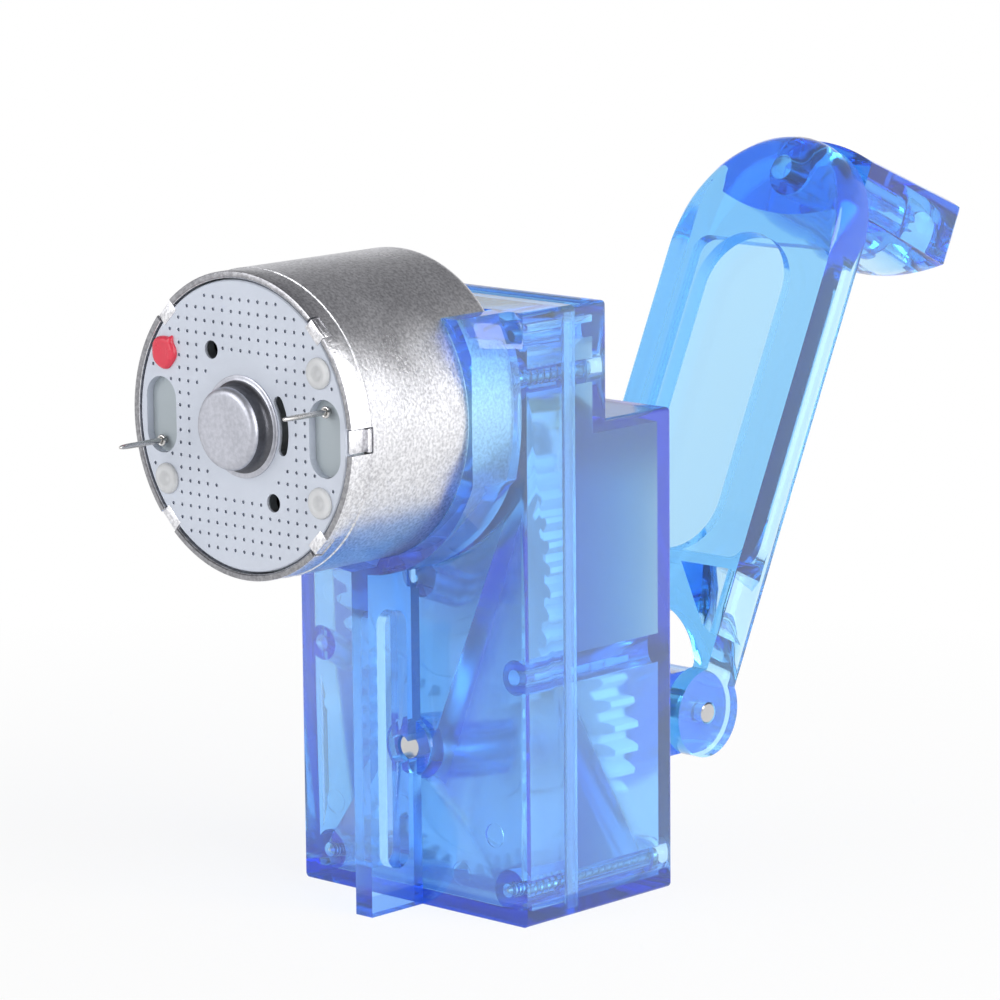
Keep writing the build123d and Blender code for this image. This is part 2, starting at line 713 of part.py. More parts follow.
def crank_knob():
    near = knob_section(knob_near, knob_near_size)
    wide = knob_section(knob_far - 0.5, knob_wide_size)
    far = knob_section(knob_far, knob_far_size)
    body = Solid.make_loft([near.outer_wire(), wide.outer_wire()], True)
    body = body + Solid.make_loft([wide.outer_wire(), far.outer_wire()], True)
    body -= rod(post_r + run_gap, 0, 30, 0, knob_place)
    body -= rod(knob_cavity_r, knob_shoulder, 30, 0, knob_place)
    return on_arm(body)


def save(name, shape):
    if isinstance(shape, list):
        shape = Compound(children=[piece for piece in shape])
    export_step(shape, "parts/" + name + ".step")
    print(name, round(shape.volume, 1))


save("front_shell", front_shell())
save("rear_cover", rear_cover())
save("case_screws_long", case_screws_long())
save("case_screws_short", case_screws_short())
save("middle_axle", middle_axle())
save("crank_gear", crank_gear())
save("step_gear_1", step_gear_1())
save("step_gear_2", step_gear_2())
save("step_gear_3", step_gear_3())
save("motor_pinion", motor_pinion())
save("motor_can", motor_can())
save("motor_magnets", motor_magnets())
save("motor_end_plate", motor_end_plate())
save("brush_holder", brush_holder())
save("terminal_pins", terminal_pins())
save("motor_brushes", motor_brushes())
save("end_bush", end_bush())
save("shaft_bush", shaft_bush())
save("motor_screws", motor_screws())
save("motor_shaft", motor_shaft())
save("armature_core", armature_core())
save("armature_windings", armature_windings())
save("commutator", commutator())
save("rotor_spacers", rotor_spacers())
save("crank_shaft", crank_shaft())
save("thrust_washer", thrust_washer())
save("crank_hub", crank_hub())
save("crank_arm", crank_arm())
save("hinge_pin", hinge_pin())
save("crank_knob", crank_knob())
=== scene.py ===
import math

import bmesh
import bpy
from mathutils import Matrix, Vector


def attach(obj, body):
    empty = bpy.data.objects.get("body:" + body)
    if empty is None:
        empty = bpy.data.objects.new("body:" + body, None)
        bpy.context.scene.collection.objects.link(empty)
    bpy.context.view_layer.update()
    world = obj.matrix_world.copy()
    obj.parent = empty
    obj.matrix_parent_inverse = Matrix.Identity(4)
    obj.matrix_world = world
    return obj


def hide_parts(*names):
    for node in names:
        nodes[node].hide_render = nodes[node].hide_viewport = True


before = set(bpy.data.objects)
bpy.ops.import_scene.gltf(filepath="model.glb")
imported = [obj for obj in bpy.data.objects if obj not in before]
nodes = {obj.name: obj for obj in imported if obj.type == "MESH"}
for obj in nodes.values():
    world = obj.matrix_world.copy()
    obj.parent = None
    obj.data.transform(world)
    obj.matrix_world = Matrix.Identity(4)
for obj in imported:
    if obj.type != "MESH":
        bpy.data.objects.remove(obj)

mm = 0.001
scene = bpy.context.scene
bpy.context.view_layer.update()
axisM = 54.8  # height of the motor's axis, mm


# shared shader groups

def newGroup(name, inputs, outputs):
    group = bpy.data.node_groups.new(name, "ShaderNodeTree")
    for socketName, kind, value in inputs:
        socket = group.interface.new_socket(socketName, in_out="INPUT", socket_type=kind)
        if value is not None:
            socket.default_value = value
    for socketName, kind in outputs:
        group.interface.new_socket(socketName, in_out="OUTPUT", socket_type=kind)
    start = group.nodes.new("NodeGroupInput")
    end = group.nodes.new("NodeGroupOutput")
    return group, start, end


def mathNode(tree, operation, a, b=None):
    node = tree.nodes.new("ShaderNodeMath")
    node.operation = operation
    for place, value in enumerate((a, b)):
        if value is None:
            continue
        if isinstance(value, (int, float)):
            node.inputs[place].default_value = value
        else:
            tree.links.new(value, node.inputs[place])
    return node.outputs[0]


def makeGrainGroup():
    # two noises, a coarse tone and a fine height
    inputs = [("Vector", "NodeSocketVector", None), ("Grain", "NodeSocketFloat", 2500.0),
              ("Cloud", "NodeSocketFloat", 120.0), ("Low", "NodeSocketFloat", 0.3),
              ("High", "NodeSocketFloat", 0.4)]
    group, start, end = newGroup("surfaceGrain", inputs, [("Height", "NodeSocketFloat"),
                                                          ("Tone", "NodeSocketFloat"),
                                                          ("Speck", "NodeSocketFloat"),
                                                          ("Roughness", "NodeSocketFloat")])
    fine = group.nodes.new("ShaderNodeTexNoise")
    fine.inputs["Detail"].default_value = 3.0
    fine.inputs["Roughness"].default_value = 0.6
    cloud = group.nodes.new("ShaderNodeTexNoise")
    cloud.inputs["Detail"].default_value = 4.0
    spread = group.nodes.new("ShaderNodeMapRange")
    spread.inputs["From Min"].default_value = 0.3
    spread.inputs["From Max"].default_value = 0.7
    links = group.links
    links.new(start.outputs["Vector"], fine.inputs["Vector"])
    links.new(start.outputs["Vector"], cloud.inputs["Vector"])
    links.new(start.outputs["Grain"], fine.inputs["Scale"])
    links.new(start.outputs["Cloud"], cloud.inputs["Scale"])
    links.new(cloud.outputs["Fac"], spread.inputs["Value"])
    links.new(start.outputs["Low"], spread.inputs["To Min"])
    links.new(start.outputs["High"], spread.inputs["To Max"])
    links.new(fine.outputs["Fac"], end.inputs["Height"])
    speck = mathNode(group, "MULTIPLY", mathNode(group, "SUBTRACT", fine.outputs["Fac"], 0.36), 3.6)
    links.new(mathNode(group, "MINIMUM", mathNode(group, "MAXIMUM", speck, 0.0), 1.0), end.inputs["Speck"])
    links.new(cloud.outputs["Fac"], end.inputs["Tone"])
    links.new(spread.outputs["Result"], end.inputs["Roughness"])
    return group


def makeFlowGroup():
    # slow waves and faint flow lines of a moulded clear wall
    inputs = [("Vector", "NodeSocketVector", None), ("Wave", "NodeSocketFloat", 90.0),
              ("Pebble", "NodeSocketFloat", 700.0), ("Clear", "NodeSocketFloat", 0.02),
              ("Hazy", "NodeSocketFloat", 0.12)]
    group, start, end = newGroup("mouldFlow", inputs, [("Height", "NodeSocketFloat"),
                                                       ("Roughness", "NodeSocketFloat")])
    wave = group.nodes.new("ShaderNodeTexNoise")
    wave.inputs["Detail"].default_value = 1.5
    wave.inputs["Distortion"].default_value = 0.6
    pebble = group.nodes.new("ShaderNodeTexNoise")
    pebble.inputs["Detail"].default_value = 2.0
    spread = group.nodes.new("ShaderNodeMapRange")
    spread.inputs["From Min"].default_value = 0.35
    spread.inputs["From Max"].default_value = 0.7
    links = group.links
    links.new(start.outputs["Vector"], wave.inputs["Vector"])
    links.new(start.outputs["Vector"], pebble.inputs["Vector"])
    links.new(start.outputs["Wave"], wave.inputs["Scale"])
    links.new(start.outputs["Pebble"], pebble.inputs["Scale"])
    links.new(wave.outputs["Fac"], spread.inputs["Value"])
    links.new(start.outputs["Clear"], spread.inputs["To Min"])
    links.new(start.outputs["Hazy"], spread.inputs["To Max"])
    small = mathNode(group, "MULTIPLY", pebble.outputs["Fac"], 0.12)
    height = mathNode(group, "ADD", wave.outputs["Fac"], small)
    links.new(height, end.inputs["Height"])
    links.new(spread.outputs["Result"], end.inputs["Roughness"])
    return group


grainGroup = makeGrainGroup()
flowGroup = makeFlowGroup()


# materials

def blankMaterial(name):
    material = bpy.data.materials.new(name)
    material.use_nodes = True
    tree = material.node_tree
    shader = tree.nodes["Principled BSDF"]
    where = tree.nodes.new("ShaderNodeTexCoord").outputs["Object"]
    return material, tree, shader, where


def grainy(name, dark, light, metallic, rough, grain, cloud, bump, reach=0.02, speck=0.0,
           letThrough=0.0, paintedShade=None):
    # opaque finish: tone between two colours, grain bump, uneven roughness; the optional band along Y is
    # painted shade, a darker base colour
    material, tree, shader, where = blankMaterial(name)
    group = tree.nodes.new("ShaderNodeGroup")
    group.node_tree = grainGroup
    group.inputs["Grain"].default_value = grain
    group.inputs["Cloud"].default_value = cloud
    group.inputs["Low"].default_value = rough[0]
    group.inputs["High"].default_value = rough[1]
    tree.links.new(where, group.inputs["Vector"])
    mix = tree.nodes.new("ShaderNodeMix")
    mix.data_type = "RGBA"
    mix.inputs["A"].default_value = (*dark, 1)
    mix.inputs["B"].default_value = (*light, 1)
    tone = mathNode(tree, "MULTIPLY", group.outputs["Tone"], 1 - speck)
    tone = mathNode(tree, "ADD", tone, mathNode(tree, "MULTIPLY", group.outputs["Speck"], speck))
    tree.links.new(tone, mix.inputs["Factor"])
    colour = mix.outputs["Result"]
    # painted shade: the base colour darkened in a band along Y
    if paintedShade:
        colour = paintedShadeBand(tree, where, colour, *paintedShade)
    tree.links.new(colour, shader.inputs["Base Color"])
    tree.links.new(group.outputs["Roughness"], shader.inputs["Roughness"])
    lift = tree.nodes.new("ShaderNodeBump")
    lift.inputs["Strength"].default_value = bump
    lift.inputs["Distance"].default_value = reach * mm
    tree.links.new(group.outputs["Height"], lift.inputs["Height"])
    tree.links.new(lift.outputs["Normal"], shader.inputs["Normal"])
    shader.inputs["Metallic"].default_value = metallic
    shader.inputs["Transmission Weight"].default_value = letThrough
    return material


def paintedShadeBand(tree, where, colour, low, high, factor):
    # painted shade: multiplies the colour by factor where object Y lies between low and high
    parts = tree.nodes.new("ShaderNodeSeparateXYZ")
    tree.links.new(where, parts.inputs["Vector"])
    inside = mathNode(tree, "MULTIPLY", mathNode(tree, "GREATER_THAN", parts.outputs["Y"], low * mm),
                      mathNode(tree, "LESS_THAN", parts.outputs["Y"], high * mm))
    dim = tree.nodes.new("ShaderNodeMix")
    dim.data_type = "RGBA"
    dim.blend_type = "MULTIPLY"
    dim.inputs["B"].default_value = (factor, factor, factor * 1.02, 1)
    tree.links.new(inside, dim.inputs["Factor"])
    tree.links.new(colour, dim.inputs["A"])
    return dim.outputs["Result"]


def clearBlue(name, surface, absorb, density, clear, hazy, wave, bump, milk=0.0, insideHaze=None,
              paintedShadeFoot=None):
    # tinted clear plastic: depth gives the colour; the optional foot is painted shade, a darker base colour
    # on the lowest few mm where the bottom wall is seen edge-on
    material, tree, shader, where = blankMaterial(name)
    group = tree.nodes.new("ShaderNodeGroup")
    group.node_tree = flowGroup
    group.inputs["Wave"].default_value = wave
    group.inputs["Clear"].default_value = clear
    group.inputs["Hazy"].default_value = hazy
    tree.links.new(where, group.inputs["Vector"])
    roughness = group.outputs["Roughness"]
    if insideHaze:
        roughness = mathNode(tree, "ADD", roughness, insideMask(tree, where, insideHaze))
    tree.links.new(roughness, shader.inputs["Roughness"])
    lift = tree.nodes.new("ShaderNodeBump")
    lift.inputs["Strength"].default_value = bump
    lift.inputs["Distance"].default_value = 0.1 * mm
    tree.links.new(group.outputs["Height"], lift.inputs["Height"])
    tree.links.new(lift.outputs["Normal"], shader.inputs["Normal"])
    shader.inputs["Base Color"].default_value = (*surface, 1)
    # painted shade: a darker base colour below the given height
    if paintedShadeFoot:
        footShadeColour, height = paintedShadeFoot
        parts = tree.nodes.new("ShaderNodeSeparateXYZ")
        tree.links.new(where, parts.inputs["Vector"])
        foot = tree.nodes.new("ShaderNodeMix")
        foot.data_type = "RGBA"
        foot.inputs["A"].default_value = (*surface, 1)
        foot.inputs["B"].default_value = (*footShadeColour, 1)
        tree.links.new(mathNode(tree, "LESS_THAN", parts.outputs["Z"], height * mm), foot.inputs["Factor"])
        tree.links.new(foot.outputs["Result"], shader.inputs["Base Color"])
    shader.inputs["IOR"].default_value = 1.5
    shader.inputs["Transmission Weight"].default_value = 1.0 - milk
    inside = tree.nodes.new("ShaderNodeVolumeAbsorption")
    inside.inputs["Color"].default_value = (*absorb, 1)
    inside.inputs["Density"].default_value = density
    out = tree.nodes["Material Output"]
    tree.links.new(inside.outputs["Volume"], out.inputs["Volume"])
    # lamps shine through it
    path = tree.nodes.new("ShaderNodeLightPath")
    through = tree.nodes.new("ShaderNodeBsdfTransparent")
    through.inputs["Color"].default_value = (*surface, 1)
    mix = tree.nodes.new("ShaderNodeMixShader")
    tree.links.new(path.outputs["Is Shadow Ray"], mix.inputs["Fac"])
    tree.links.new(shader.outputs["BSDF"], mix.inputs[1])
    tree.links.new(through.outputs["BSDF"], mix.inputs[2])
    tree.links.new(mix.outputs["Shader"], out.inputs["Surface"])
    return material


caseInside = {"side": 16.3, "front": 1.4, "back": 21.9, "low": 1.4, "high": 63.9}  # mm


def insideMask(tree, where, amount):
    # the amount on the housing's inner faces, whose mould was left duller, and nothing elsewhere
    p = caseInside
    parts = tree.nodes.new("ShaderNodeSeparateXYZ")
    tree.links.new(where, parts.inputs["Vector"])
    mask = mathNode(tree, "LESS_THAN", mathNode(tree, "ABSOLUTE", parts.outputs["X"]), p["side"] * mm)
    for test, axis, limit in (("GREATER_THAN", "Y", p["front"]), ("LESS_THAN", "Y", p["back"]),
                              ("GREATER_THAN", "Z", p["low"]), ("LESS_THAN", "Z", p["high"])):
        mask = mathNode(tree, "MULTIPLY", mask, mathNode(tree, test, parts.outputs[axis], limit * mm))
    return mathNode(tree, "MULTIPLY", mask, amount)


# absorption per metre: red goes first, then green, blue last
caseBlue = clearBlue("case_clear_blue", surface=(0.69, 0.885, 1.0), absorb=(0.13, 0.62, 0.968),
                     density=290.0, clear=0.02, hazy=0.07, wave=90.0, bump=0.25, milk=0.09,
                     # painted shade: the lowest 2.3 mm of the case get a darker base colour where the bottom
                     # wall is seen edge-on
                     insideHaze=0.12, paintedShadeFoot=((0.36, 0.56, 0.86), 2.3))
armBlue = clearBlue("arm_clear_blue", surface=(0.78, 0.94, 1.0), absorb=(0.13, 0.67, 0.965),
                    density=260.0, clear=0.03, hazy=0.08, wave=70.0, bump=0.2, milk=0.06)
nickelSteel = grainy("nickel_plated_can", dark=(0.50, 0.50, 0.525), light=(0.97, 0.97, 1.0),
                     metallic=1.0, rough=(0.26, 0.36), grain=3000.0, cloud=160.0, bump=1.0, reach=0.035,
                     # painted shade: the rim end of the can is darkened where the gap to the end plate lies
                     # in shadow
                     speck=0.75, paintedShade=(-25.0, -24.4, 0.42))
platedSteel = grainy("end_plate_zinc", dark=(0.52, 0.56, 0.64), light=(0.60, 0.64, 0.72), metallic=0.25,
                     rough=(0.38, 0.5), grain=1400.0, cloud=200.0, bump=0.25)
bossSteel = grainy("boss_zinc", dark=(0.38, 0.39, 0.44), light=(0.56, 0.57, 0.63), metallic=0.85,
                   rough=(0.36, 0.46), grain=1900.0, cloud=260.0, bump=0.5, speck=0.5,
                   # painted shade: the boss's side wall is darkened
                   paintedShade=(-26.15, -24.55, 0.22))
screwSteel = grainy("screw_zinc", dark=(0.42, 0.42, 0.43), light=(0.62, 0.62, 0.63), metallic=1.0,
                    rough=(0.24, 0.34), grain=2200.0, cloud=300.0, bump=0.2)
shaftSteel = grainy("shaft_steel", dark=(0.50, 0.50, 0.51), light=(0.68, 0.68, 0.69), metallic=1.0,
                    rough=(0.16, 0.24), grain=1800.0, cloud=300.0, bump=0.15)
axleSteel = grainy("axle_steel", dark=(0.22, 0.28, 0.38), light=(0.34, 0.41, 0.52), metallic=0.9,
                   rough=(0.4, 0.5), grain=1800.0, cloud=300.0, bump=0.2)
tinnedWire = grainy("tinned_wire", dark=(0.46, 0.45, 0.44), light=(0.72, 0.71, 0.70), metallic=1.0,
                    rough=(0.2, 0.32), grain=2600.0, cloud=500.0, bump=0.3)
# painted shade: the holder is the stakes' white plastic, darkened where it lies recessed behind the plate's
# slots
holderPlasticShaded = grainy("holder_plastic_painted_shade", dark=(0.36, 0.41, 0.44), light=(0.42, 0.47, 0.50), metallic=0.0,
                       rough=(0.42, 0.5), grain=1500.0, cloud=200.0, bump=0.1)
stakePlastic = grainy("stake_plastic", dark=(0.52, 0.53, 0.54), light=(0.64, 0.65, 0.66), metallic=0.0,
                      rough=(0.38, 0.5), grain=1200.0, cloud=500.0, bump=0.4)
whiteNylon = grainy("white_nylon", dark=(0.80, 0.86, 0.92), light=(0.88, 0.93, 0.98), metallic=0.0,
                    rough=(0.4, 0.5), grain=1500.0, cloud=150.0, bump=0.15, letThrough=0.4)
redPaint = grainy("red_paint", dark=(0.62, 0.03, 0.06), light=(0.78, 0.05, 0.09), metallic=0.0,
                  rough=(0.22, 0.32), grain=900.0, cloud=420.0, bump=0.3)
darkFerrite = grainy("dark_ferrite", dark=(0.035, 0.035, 0.04), light=(0.06, 0.06, 0.065), metallic=0.0,
                     rough=(0.55, 0.65), grain=2000.0, cloud=300.0, bump=0.3)
bronze = grainy("sintered_bronze", dark=(0.42, 0.28, 0.15), light=(0.55, 0.38, 0.2), metallic=1.0,
                rough=(0.4, 0.5), grain=3000.0, cloud=300.0, bump=0.5)
lamination = grainy("lamination_steel", dark=(0.28, 0.28, 0.3), light=(0.36, 0.36, 0.38), metallic=1.0,
                    rough=(0.35, 0.45), grain=2500.0, cloud=200.0, bump=0.3)
copper = grainy("copper_wire", dark=(0.62, 0.26, 0.12), light=(0.75, 0.34, 0.17), metallic=1.0,
                rough=(0.25, 0.35), grain=2500.0, cloud=300.0, bump=0.5)
brushMetal = grainy("brush_metal", dark=(0.5, 0.42, 0.28), light=(0.62, 0.53, 0.36), metallic=1.0,
                    rough=(0.3, 0.4), grain=2000.0, cloud=300.0, bump=0.2)
print("materials made")


# mesh helpers

def addPiece(name, mesh, material, body, replaced=()):
    piece = bpy.data.objects.new(name, mesh)
    scene.collection.objects.link(piece)
    if material is not None:
        mesh.materials.clear()
        mesh.materials.append(material)
    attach(piece, body)
    if replaced:
        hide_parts(*replaced)
    return piece


def looseObject(mesh, name="loose"):
    piece = bpy.data.objects.new(name, mesh)
    scene.collection.objects.link(piece)
    return piece


def bakeModifiers(piece):
    # the evaluated mesh as a plain one; the loose object goes
    graph = bpy.context.evaluated_depsgraph_get()
    mesh = bpy.data.meshes.new_from_object(piece.evaluated_get(graph))
    bpy.data.objects.remove(piece)
    return mesh


def smoothByAngle(mesh, angle=32):
    mesh.shade_smooth()
    mesh.set_sharp_from_angle(angle=math.radians(angle))


def bevelled(mesh, width, segments=2, angle=40):
    piece = looseObject(mesh)
    bevel = piece.modifiers.new("edges", "BEVEL")
    bevel.width = width * mm
    bevel.segments = segments
    bevel.limit_method = "ANGLE"
    bevel.angle_limit = math.radians(angle)
    bevel.use_clamp_overlap = False
    bevel.miter_outer = "MITER_ARC"
    return bakeModifiers(piece)


def cadCopy(name, shrink=0.0):
    # merged copy of a CAD node's mesh, drawn in by a hair so that clear faces don't touch
    bm = bmesh.new()
    bm.from_mesh(nodes[name].data)
    bmesh.ops.remove_doubles(bm, verts=bm.verts, dist=0.0005 * mm)
    bmesh.ops.dissolve_limit(bm, angle_limit=math.radians(0.6), verts=bm.verts, edges=bm.edges)
    bm.normal_update()
    if shrink:
        for vertex in bm.verts:
            vertex.co -= vertex.normal * shrink * mm
    mesh = bpy.data.meshes.new(name + "_mesh")
    bm.to_mesh(mesh)
    bm.free()
    return mesh


def lathe(name, profile, steps, closed=False, centre=(0.0, axisM)):
    # turns (y, radius) points in mm about a line along Y
    bm = bmesh.new()
    rings = []
    for y, radius in profile:
        if radius < 1e-6:
            rings.append([bm.verts.new((centre[0] * mm, y * mm, centre[1] * mm))])
            continue
        ring = []
        for i in range(steps):
            turn = 2 * math.pi * i / steps
            ring.append(bm.verts.new(((centre[0] + radius * math.cos(turn)) * mm, y * mm,
                                      (centre[1] + radius * math.sin(turn)) * mm)))
        rings.append(ring)
    pairs = list(zip(rings, rings[1:]))
    if closed:
        pairs.append((rings[-1], rings[0]))
    for a, b in pairs:
        for i in range(steps):
            j = (i + 1) % steps
            corners = [a[i % len(a)], a[j % len(a)], b[j % len(b)], b[i % len(b)]]
            face = []
            for corner in corners:
                if corner not in face:
                    face.append(corner)
            if len(face) > 2:
                bm.faces.new(face)
    bmesh.ops.recalc_face_normals(bm, faces=bm.faces)
    mesh = bpy.data.meshes.new(name)
    bm.to_mesh(mesh)
    bm.free()
    return mesh


def boxMesh(x0, x1, y0, y1, z0, z1, turn=None):
    bm = bmesh.new()
    bmesh.ops.create_cube(bm, size=1.0)
    size = Vector((x1 - x0, y1 - y0, z1 - z0)) * mm
    middle = Vector((x0 + x1, y0 + y1, z0 + z1)) * mm / 2
    for vertex in bm.verts:
        vertex.co = Vector([vertex.co[k] * size[k] for k in range(3)]) + middle
    if turn is not None:
        bmesh.ops.transform(bm, matrix=turn, verts=bm.verts)
    mesh = bpy.data.meshes.new("box")
    bm.to_mesh(mesh)
    bm.free()
    return mesh


def joinMeshes(name, meshes):
    bm = bmesh.new()
    for mesh in meshes:
        bm.from_mesh(mesh)
    joined = bpy.data.meshes.new(name)
    bm.to_mesh(joined)
    bm.free()
    return joined


def combine(mesh, others, operation="DIFFERENCE"):
    piece = looseObject(mesh)
    tools = []
    for other in others:
        tool = looseObject(other, "tool")
        tools.append(tool)
        step = piece.modifiers.new("cut", "BOOLEAN")
        step.operation = operation
        step.solver = "EXACT"
        step.object = tool
    result = bakeModifiers(piece)
    for tool in tools:
        bpy.data.objects.remove(tool)
    return result


def aboutMotor(angle):
    # turn about the motor's axis, from +X towards +Z
    centre = Matrix.Translation((0, 0, axisM * mm))
    return centre @ Matrix.Rotation(-math.radians(angle), 4, "Y")


def arcPoints(centreY, centreR, radius, fromAngle, toAngle, count):
    points = []
    for i in range(count + 1):
        angle = math.radians(fromAngle + (toAngle - fromAngle) * i / count)
        points.append((centreY + radius * math.cos(angle), centreR + radius * math.sin(angle)))
    return points


# clear plastic

clearPieces = [
    ("front_shell", "housing", caseBlue),
    ("rear_cover", "housing", caseBlue),
    ("crank_arm", "arm", armBlue),
    ("crank_hub", "crank", armBlue),
    ("crank_knob", "knob", armBlue),
]
for name, body, material in clearPieces:
    mesh = cadCopy(name, 0.012)
    smoothByAngle(mesh)
    addPiece(name + "_clear", mesh, material, body, [name])
print("clear plastic dressed")


# motor can

motorCan = {
    "radius": 16.0, "wall": 0.8, "rim": -24.5, "back": -0.1, "corner": 1.5,
    "bandEnd": -21.7, "bandDrop": 0.07, "groove": 0.14,
    "notches": [(45, 1.2), (-45, 1.2), (135, 1.2), (-135, 1.2)], "notchWide": 2.7,
    "tabAngle": 0, "tabDeep": 3.0,
    "bossRadius": 4.0, "bossEnd": 1.3, "screwX": 8.0, "screwHole": 1.2,
}


def makeMotorCan(p):
    r, inner = p["radius"], p["radius"] - p["wall"]
    band = r - p["bandDrop"]
    rim, back = p["rim"], p["back"]
    profile = [(rim + 0.15, inner), (rim, inner + 0.15), (rim, band - 0.2), (rim + 0.06, band - 0.06),
               (rim + 0.2, band), (p["bandEnd"] - 0.12, band), (p["bandEnd"] - 0.06, r - p["groove"]),
               (p["bandEnd"], r - p["groove"]), (p["bandEnd"] + 0.08, r)]
    profile += [(p["bandEnd"] + 0.5, r), (back - p["corner"] - 0.4, r)]
    profile += arcPoints(back - p["corner"], r - p["corner"], p["corner"], 90, 0, 10)
    boss, bossEnd, inside = p["bossRadius"], p["bossEnd"], back - p["wall"]
    profile += [(back, boss + 0.5), (back + 0.12, boss + 0.1), (back + 0.4, boss), (bossEnd - 0.2, boss),
                (bossEnd, boss - 0.2), (bossEnd, boss - 0.7), (inside, boss - 0.7), (inside, inner - 0.9)]
    profile += arcPoints(inside - 0.9, inner - 0.9, 0.9, 0, 90, 6)[1:]
    mesh = lathe("motor_can", profile, 224, closed=True)
    cutters = []
    half, tabEnd, tabTurn = p["notchWide"] / 2, rim + p["tabDeep"], aboutMotor(p["tabAngle"])
    for angle, deep in p["notches"]:
        cutters.append(boxMesh(r - 1.6, r + 1, rim - 1, rim + deep, -half, half, aboutMotor(angle)))
    cutters.append(boxMesh(r - 1.6, r + 1, rim - 1, tabEnd, -half, half, tabTurn))
    hole = p["screwHole"]
    for side in (-1, 1):
        cutters.append(lathe("hole", [(-3, 0), (-3, hole), (1, hole), (1, 0)], 32,
                             centre=(side * p["screwX"], axisM)))
    mesh = combine(mesh, [joinMeshes("cuts", cutters)])
    # rim metal pressed in over the plate at each notch, and the bent tab at the side
    bent = []
    wide, tabWide = half - 0.12, half - 0.15
    for angle, deep in p["notches"]:
        turn = aboutMotor(angle)
        bent.append(boxMesh(inner - 0.75, r - 0.25, rim + 0.12, rim + 0.62, -wide, wide, turn))
        bent.append(boxMesh(inner + 0.05, r - 0.2, rim + 0.5, rim + deep + 0.3, -wide, wide, turn))
    bent.append(boxMesh(inner - 0.1, inner + 0.25, rim + 0.3, tabEnd + 0.3, -tabWide, tabWide, tabTurn))
    bent.append(boxMesh(inner - 0.1, r + 0.02, tabEnd - 0.75, tabEnd - 0.2, -tabWide, tabWide, tabTurn))
    tabs = bevelled(joinMeshes("tabs", bent), 0.12, 2)
    mesh = joinMeshes("motor_can", [mesh, tabs])
    smoothByAngle(mesh, 28)
    return mesh


addPiece("motor_can_shell", makeMotorCan(motorCan), nickelSteel, "housing", ["motor_can"])
print("motor can made")


# end plate

endPlate = {
    "radius": 14.98, "front": -24.3, "back": -23.4,
    "bossRadius": 4.3, "bossFront": -26.8, "bossRound": 0.75, "skirt": 0.8, "ring": 5.3,
    "slotX": 11.9, "slotWide": 4.4, "slotTall": 8.0,
    "holes": [(-4.3, 7.5), (4.4, -7.4)], "holeRadius": 0.95,
    "curvedSlot": (5.5, 6.75, -17.0, 30.0),
    "pitch": 1.3, "pitRadius": 0.19, "pitDeep": 0.22, "pitCount": 23, "pitReach": 14.2, "pitClear": 7.1,
    "edgeThick": 0.3, "edgeStep": 0.5, "bore": 3.4, "cut": (-26, -22),
}


def prismMesh(points, y0, y1):
    # prism along Y from an outline of (x, z) points in mm
    bm = bmesh.new()
    near = [bm.verts.new((x * mm, y0 * mm, z * mm)) for x, z in points]
    far = [bm.verts.new((x * mm, y1 * mm, z * mm)) for x, z in points]
    bm.faces.new(near)
    bm.faces.new(far)
    for i in range(len(points)):
        j = (i + 1) % len(points)
        bm.faces.new((near[i], near[j], far[j], far[i]))
    bmesh.ops.recalc_face_normals(bm, faces=bm.faces)
    mesh = bpy.data.meshes.new("prism")
    bm.to_mesh(mesh)
    bm.free()
    return mesh


def flatDisc(radius, front, back, bevel, steps):
    # one flat face in front and behind, so that the light lies evenly on it
    bm = bmesh.new()
    rows = []
    for y, r in ((front, radius - bevel), (front + bevel, radius), (back, radius)):
        row = []
        for i in range(steps):
            turn = 2 * math.pi * i / steps
            row.append(bm.verts.new((r * math.cos(turn) * mm, y * mm, (axisM + r * math.sin(turn)) * mm)))
        rows.append(row)
    bm.faces.new(rows[0])
    bm.faces.new(rows[-1])
    for a, b in zip(rows, rows[1:]):
        for i in range(steps):
            j = (i + 1) % steps
            bm.faces.new((a[i], a[j], b[j], b[i]))
    bmesh.ops.recalc_face_normals(bm, faces=bm.faces)
    mesh = bpy.data.meshes.new("disc")
    bm.to_mesh(mesh)
    bm.free()
    return mesh


def roundedSlot(x, z, wide, tall, steps=14):
    radius = wide / 2
    straight = tall / 2 - radius
    points = []
    for middle, start in ((z + straight, 0), (z - straight, 180)):
        for i in range(steps + 1):
            angle = math.radians(start + 180 * i / steps)
            points.append((x + radius * math.cos(angle), middle + radius * math.sin(angle)))
    return points


def bentSlot(inner, outer, fromAngle, toAngle, steps=16):
    half = (outer - inner) / 2
    middle = (inner + outer) / 2
    points = []
    for radius, order in ((outer, range(steps + 1)), (inner, range(steps, -1, -1))):
        for i in order:
            angle = math.radians(fromAngle + (toAngle - fromAngle) * i / steps)
            points.append((radius * math.cos(angle), axisM + radius * math.sin(angle)))
        end = toAngle if radius == outer else fromAngle
        base = math.radians(end)
        for i in range(1, 6):
            turn = math.radians(end + (180 * i / 6 if radius == outer else 180 + 180 * i / 6))
            points.append((middle * math.cos(base) + half * math.cos(turn),
                           axisM + middle * math.sin(base) + half * math.sin(turn)))
    return points


